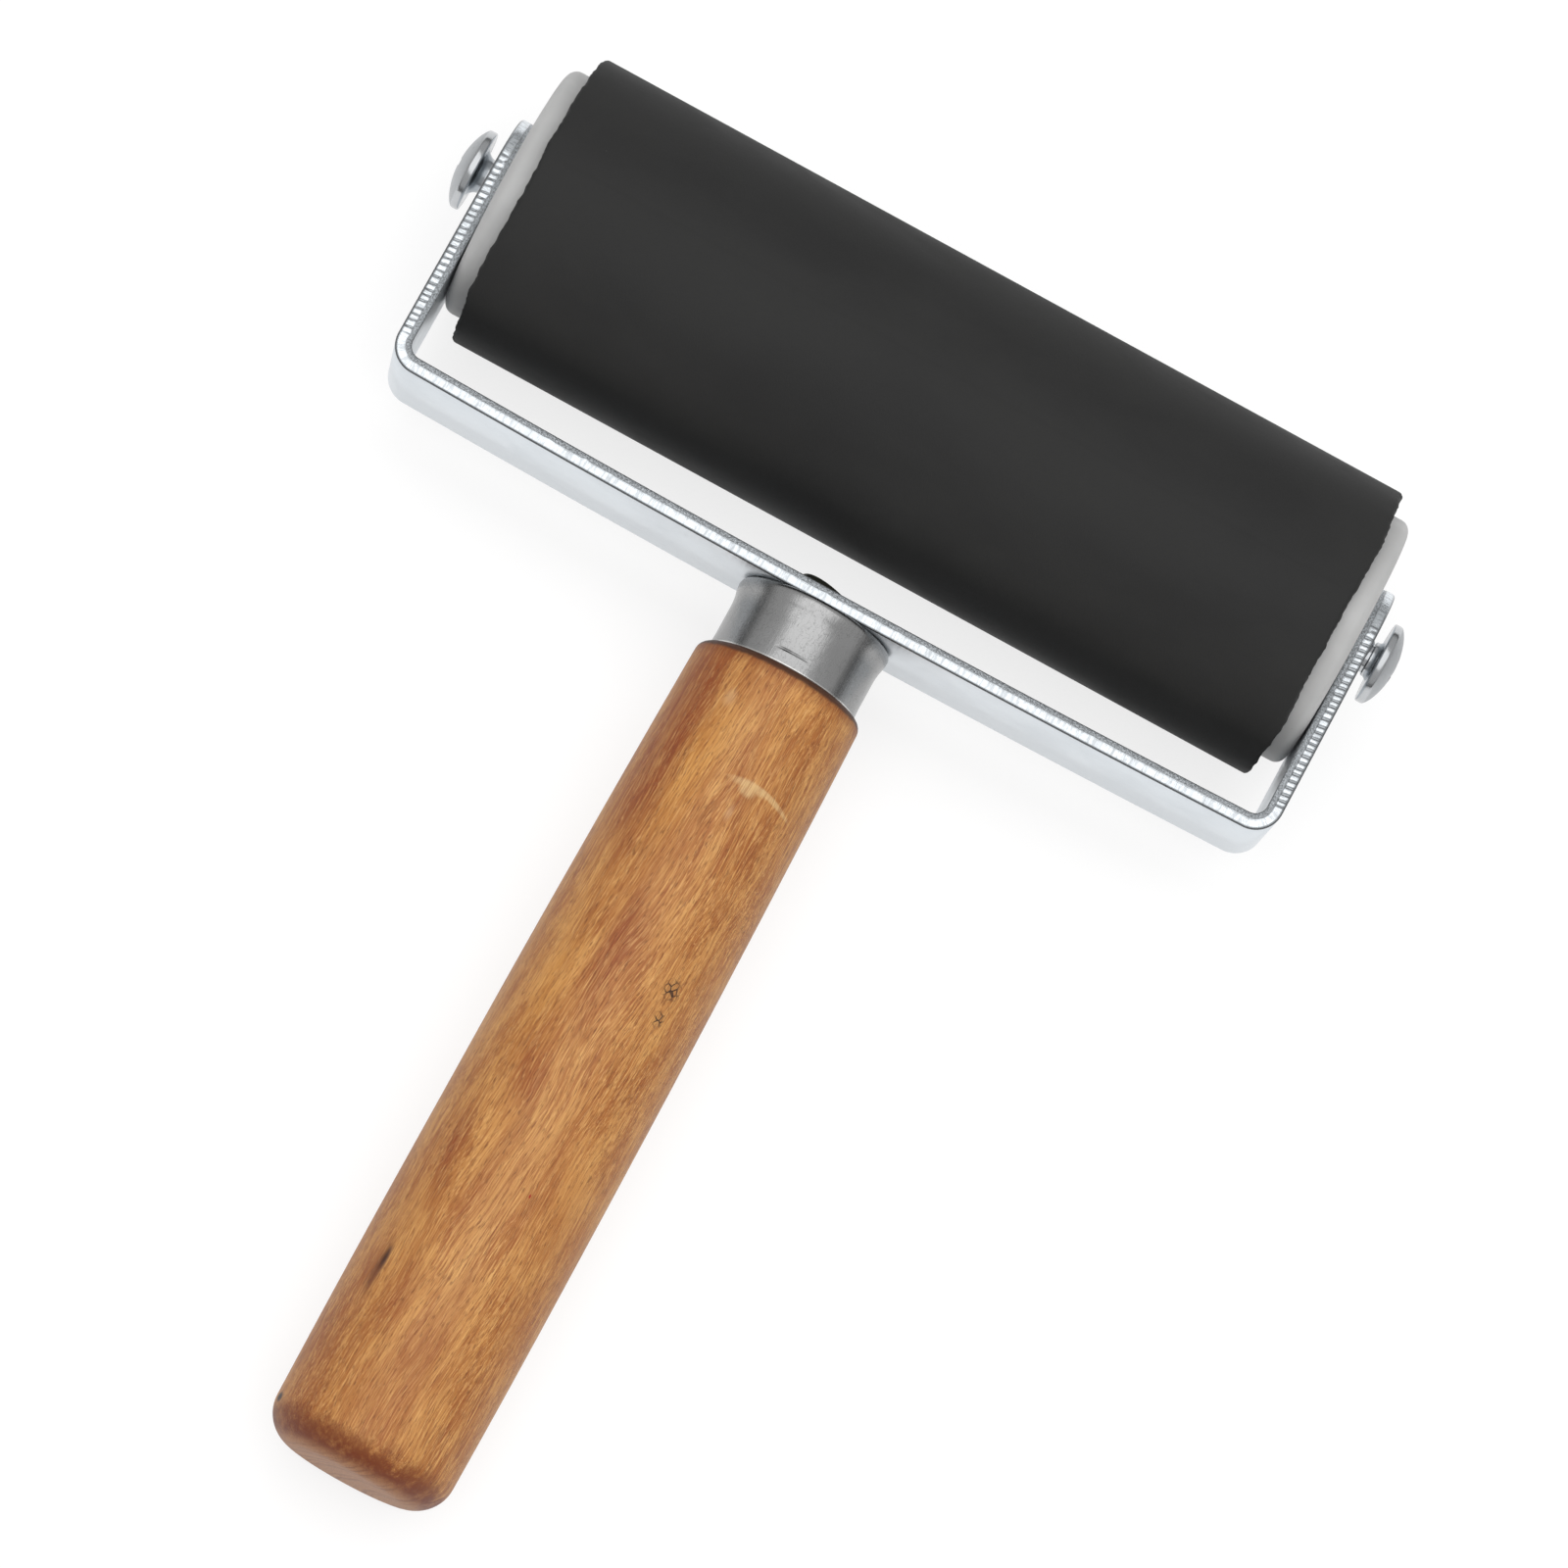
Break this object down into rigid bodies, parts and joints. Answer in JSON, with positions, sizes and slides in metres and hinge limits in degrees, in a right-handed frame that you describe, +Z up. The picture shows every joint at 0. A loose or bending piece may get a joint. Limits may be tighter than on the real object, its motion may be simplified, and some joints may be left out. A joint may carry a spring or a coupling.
{
  "type": "rubber brayer",
  "caption": "Hand roller: a rubber-covered cylinder turns in a bent steel strap on a turned wooden handle, to spread ink or press paper flat.",
  "frame": {"origin": "on the table, under the middle of the brayer's box as it lies at rest on its roller and the butt's edge", "axes": "+X along the roller's axle, to the right seen from the handle; +Y from the handle's butt to the roller; +Z up from the table"},
  "size_m": [0.1174, 0.1512, 0.0354],
  "materials": {
    "zinc_plated_strap": "bright zinc plate over sheared steel strip",
    "black_rubber": "matte, ground, a little dusty",
    "grey_plastic": "matte moulded",
    "zinc_plated_screw": "bright zinc plate",
    "varnished_wood": "satin varnish over open-pored hardwood",
    "bare_steel": "drawn sheet, satin",
    "blackened_screw": "blackened steel"
  },
  "bodies": {
    "frame": {"frame_strap": "zinc_plated_strap", "ferrule": "bare_steel", "handle_grip": "varnished_wood", "handle_screw": "blackened_screw"},
    "roller": {"rubber_sleeve": "black_rubber", "roller_core": "grey_plastic", "left_axle_screw": "zinc_plated_screw", "right_axle_screw": "zinc_plated_screw"}
  },
  "joints": [
    {"name": "roller_spin", "type": "hinge", "parent": "frame", "child": "roller", "pos_m": [0, 0.05791, 0.0177], "axis": [1, 0, 0], "continuous": true}
  ]
}
